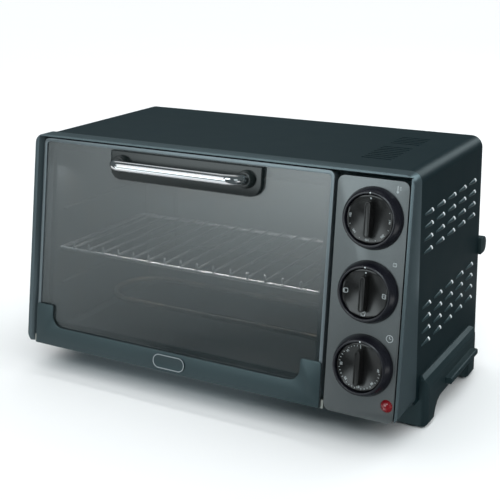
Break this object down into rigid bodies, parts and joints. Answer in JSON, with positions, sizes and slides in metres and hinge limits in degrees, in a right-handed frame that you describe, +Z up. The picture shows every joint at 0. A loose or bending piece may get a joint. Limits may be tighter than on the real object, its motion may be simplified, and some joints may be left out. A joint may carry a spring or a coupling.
{
  "type": "toaster oven",
  "caption": "Countertop toaster oven: leaning front frame, drop-down glass door with a chrome bar handle, rotary dials, wire rack and moulded bases",
  "frame": {"origin": "on the table, under the middle of the whole object's outline", "axes": "+X to the right seen from the front, +Y to the back, +Z up; the door faces -Y"},
  "size_m": [0.458, 0.27, 0.254],
  "materials": {
    "frame_paint": "satin graphite enamel",
    "housing_paint": "semi-gloss black enamel",
    "panel_paint": "satin grey metallic paint",
    "trim_paint": "satin graphite enamel",
    "badge_metal": "satin",
    "back_sheet": "matt black paint on galvanised sheet",
    "cavity_steel": "aluminised steel sheet",
    "tray_aluminium": "mill finish",
    "shield_aluminium": "bright sheet",
    "base_plastic": "fine textured black moulding",
    "bezel_plastic": "polished black moulding",
    "dial_plastic": "polished black moulding with white marks",
    "handle_plastic": "semi-gloss black moulding",
    "handle_chrome": "bright chrome",
    "rack_chrome": "bright chrome wire",
    "glass": "toughened glass, grey",
    "lens_red": "clear red lens",
    "ceramic": "fired steatite",
    "element_sheath": "oxidised heating sheath",
    "zinc_steel": "zinc-plated",
    "sensor_copper": "drawn copper tube",
    "control_case": "moulded switch case",
    "timer_case": "pressed steel case",
    "rubber": "soft black rubber",
    "wire_insulation": "silicone insulation"
  },
  "bodies": {
    "cabinet": {"front_frame": "frame_paint", "outer_housing": "housing_paint", "rear_panel": "back_sheet", "bottom_panel": "back_sheet", "left_base": "base_plastic", "right_base": "base_plastic", "foot_pads": "rubber", "rear_bumpers": "base_plastic", "control_panel": "panel_paint", "upper_bezel": "bezel_plastic", "middle_bezel": "bezel_plastic", "lower_bezel": "bezel_plastic", "thermostat": "ceramic", "thermostat_sensor": "sensor_copper", "function_switch": "control_case", "timer_body": "timer_case", "timer_bell": "zinc_steel", "indicator_lens": "lens_red", "indicator_lamp": "ceramic", "cavity_left_wall": "cavity_steel", "cavity_right_wall": "cavity_steel", "cavity_roof": "cavity_steel", "cavity_back": "cavity_steel", "upper_element": "element_sheath", "lower_element": "element_sheath", "element_insulators": "ceramic", "element_supports": "zinc_steel", "heat_shield": "shield_aluminium", "cord_gland": "base_plastic", "terminal_block": "ceramic", "internal_wiring": "wire_insulation", "rear_screws": "zinc_steel", "base_screws": "zinc_steel", "control_screws": "zinc_steel", "hinge_brackets": "zinc_steel"},
    "door": {"door_frame": "frame_paint", "door_glass": "glass", "lower_trim": "trim_paint", "trim_badge": "badge_metal", "handle_plate": "handle_plastic", "handle_bar": "handle_chrome", "handle_collars": "handle_plastic", "handle_screws": "zinc_steel", "hinge_pins": "zinc_steel"},
    "rack": {"wire_rack": "rack_chrome"},
    "tray": {"crumb_tray": "tray_aluminium"},
    "temperature_knob": {"temperature_dial": "dial_plastic", "temperature_shaft": "zinc_steel"},
    "function_knob": {"function_dial": "dial_plastic", "function_shaft": "zinc_steel"},
    "timer_knob": {"timer_dial": "dial_plastic", "timer_shaft": "zinc_steel"}
  },
  "joints": [
    {"name": "door_hinge", "type": "hinge", "parent": "cabinet", "child": "door", "pos_m": [0, -0.1165, 0.03118], "axis": [1, 0, 0], "range_deg": [0, 92]},
    {"name": "rack_slide", "type": "slide", "parent": "cabinet", "child": "rack", "axis": [0, -1, 0], "range_m": [0, 0.081]},
    {"name": "tray_slide", "type": "slide", "parent": "cabinet", "child": "tray", "axis": [0, 1, 0], "range_m": [0, 0.2]},
    {"name": "temperature_turn", "type": "hinge", "parent": "cabinet", "child": "temperature_knob", "pos_m": [0.1785, -0.0985, 0.21238], "axis": [0, 0.9913, -0.1316], "range_deg": [0, 270]},
    {"name": "function_turn", "type": "hinge", "parent": "cabinet", "child": "function_knob", "pos_m": [0.1785, -0.10738, 0.14547], "axis": [0, 0.9913, -0.1316], "range_deg": [0, 270]},
    {"name": "timer_turn", "type": "hinge", "parent": "cabinet", "child": "timer_knob", "pos_m": [0.1785, -0.11633, 0.07806], "axis": [0, 0.9913, -0.1316], "range_deg": [0, 270]}
  ],
  "couplings": [
    {"joint": "rack_slide", "follows": "door_hinge", "m_per_rad": 0.05}
  ]
}
